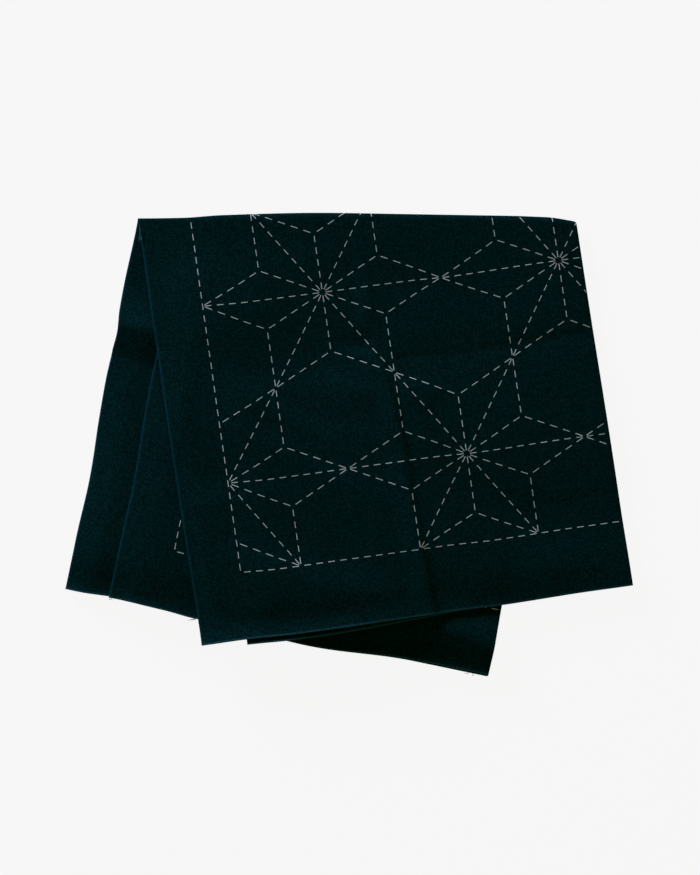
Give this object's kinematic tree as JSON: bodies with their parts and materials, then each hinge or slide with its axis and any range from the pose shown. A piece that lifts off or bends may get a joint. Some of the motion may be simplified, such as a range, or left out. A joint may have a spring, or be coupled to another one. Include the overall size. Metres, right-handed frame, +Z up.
{
  "type": "folded sashiko sampler cloth",
  "caption": "Dark cotton cloth printed with a dashed hemp-leaf stitching guide, folded in half and then turned back under itself a little askew, lying flat.",
  "frame": {"origin": "on the surface that the cloth lies on, under the middle of its box", "axes": "+X to the right along the long top fold, +Y towards that fold, +Z up out of the printed side"},
  "size_m": [0.2372, 0.1935, 0.0091],
  "materials": {
    "cloth": "plain-woven matt cotton, very dark green-blue",
    "guide_print": "thin pale grey wash-out ink on the cloth",
    "loose_threads": "single cotton threads worked loose from the cut edges"
  },
  "bodies": {
    "root": {"folded_cloth": "cloth"}
  },
  "joints": []
}
